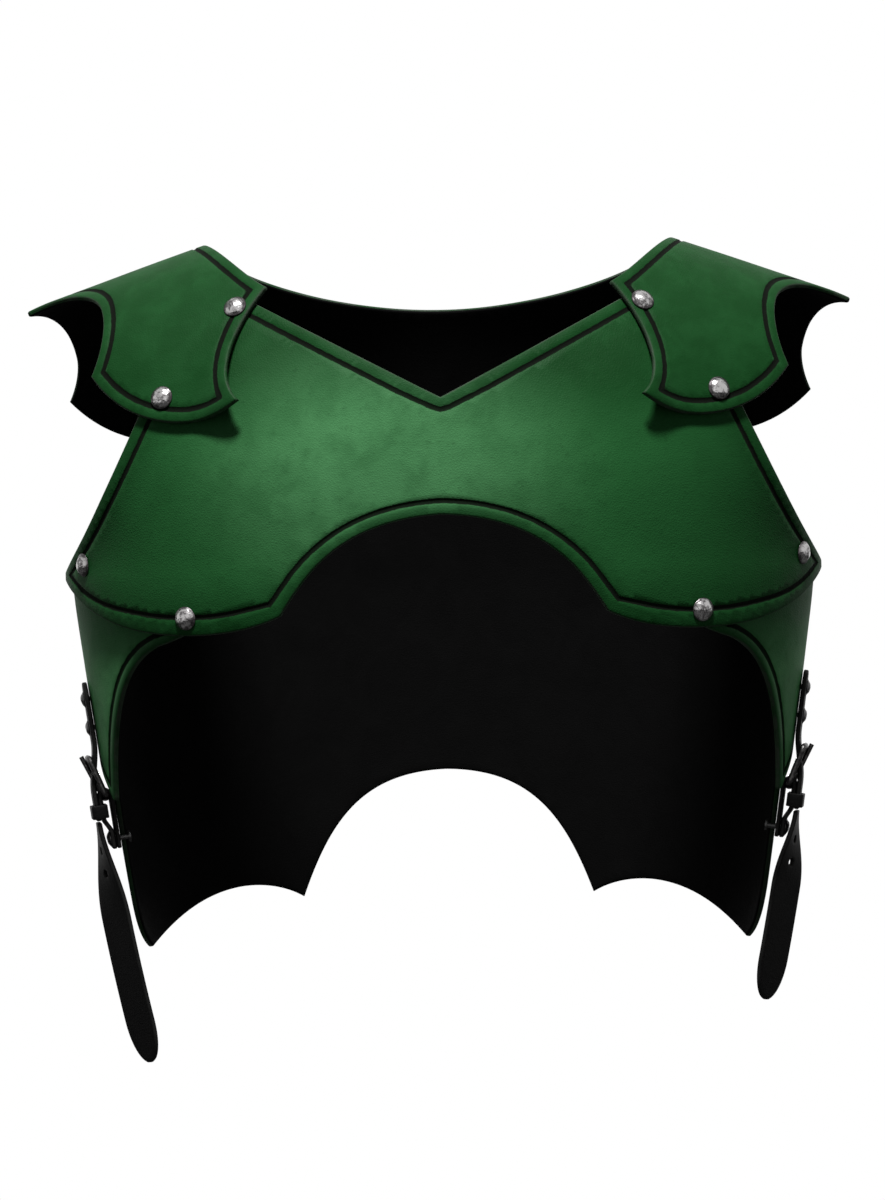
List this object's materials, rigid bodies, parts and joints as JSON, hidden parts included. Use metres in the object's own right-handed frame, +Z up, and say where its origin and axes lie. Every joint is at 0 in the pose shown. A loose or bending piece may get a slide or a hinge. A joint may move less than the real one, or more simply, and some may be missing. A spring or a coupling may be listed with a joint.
{
  "type": "leather breastplate",
  "caption": "Leather breastplate: arched chest plate, pointed side panels, back plate with bat-wing lower edge, riveted shoulder guards and side straps with buckles.",
  "frame": {"origin": "on the centre line at the height of the wearer's shoulders, midway between the two shoulder guards", "axes": "+X to the right of a viewer who faces the front, +Y from front to back, +Z up"},
  "size_m": [0.4316, 0.2371, 0.4263],
  "materials": {
    "green_leather": "dyed and burnished, satin",
    "black_leather": "dyed black, satin",
    "rivet_silver": "worn nickel plate",
    "rivet_black": "black lacquer",
    "buckle_steel": "dull"
  },
  "bodies": {
    "shell": {"chest_plate": "green_leather", "back_plate": "green_leather", "side_panel_left": "green_leather", "side_panel_right": "green_leather", "shoulder_guard_left": "green_leather", "shoulder_guard_right": "green_leather", "guard_front_rivet_caps": "rivet_silver", "guard_front_rivet_posts": "buckle_steel", "guard_back_rivet_caps": "rivet_silver", "guard_back_rivet_posts": "buckle_steel", "panel_rivet_caps": "rivet_silver", "panel_rivet_posts": "buckle_steel", "side_strap_left": "black_leather", "side_strap_right": "black_leather", "buckle_chape_left": "black_leather", "buckle_chape_right": "black_leather", "strap_keeper_left": "black_leather", "strap_keeper_right": "black_leather", "strap_rivet_caps": "rivet_black", "strap_rivet_posts": "buckle_steel", "chape_rivet_caps": "rivet_black", "chape_rivet_posts": "buckle_steel"},
    "tail_left": {"strap_tail_left": "black_leather"},
    "tail_right": {"strap_tail_right": "black_leather"},
    "frame_left": {"buckle_frame_left": "buckle_steel"},
    "frame_right": {"buckle_frame_right": "buckle_steel"},
    "prong_left": {"buckle_prong_left": "buckle_steel"},
    "prong_right": {"buckle_prong_right": "buckle_steel"}
  },
  "joints": [
    {"name": "frame_swivel_right", "type": "hinge", "parent": "shell", "child": "frame_right", "pos_m": [0.1788, -0.00809, -0.2789], "axis": [0.1141, 0.9934, -0.0106], "range_deg": [0, 5]},
    {"name": "prong_pivot_right", "type": "hinge", "parent": "frame_right", "child": "prong_right", "pos_m": [0.1788, -0.00809, -0.2789], "axis": [0.1141, 0.9934, -0.0106], "range_deg": [0, 5]},
    {"name": "tail_swing_right", "type": "hinge", "parent": "shell", "child": "tail_right", "pos_m": [0.18225, -0.00863, -0.29305], "axis": [-0.1141, -0.9934, 0.0106], "range_deg": [0, 40]},
    {"name": "frame_swivel_left", "type": "hinge", "parent": "shell", "child": "frame_left", "pos_m": [-0.1788, -0.00809, -0.2789], "axis": [0.1141, -0.9934, 0.0106], "range_deg": [0, 5]},
    {"name": "prong_pivot_left", "type": "hinge", "parent": "frame_left", "child": "prong_left", "pos_m": [-0.1788, -0.00809, -0.2789], "axis": [0.1141, -0.9934, 0.0106], "range_deg": [0, 5]},
    {"name": "tail_swing_left", "type": "hinge", "parent": "shell", "child": "tail_left", "pos_m": [-0.18225, -0.00863, -0.29305], "axis": [-0.1141, 0.9934, -0.0106], "range_deg": [0, 40]}
  ]
}
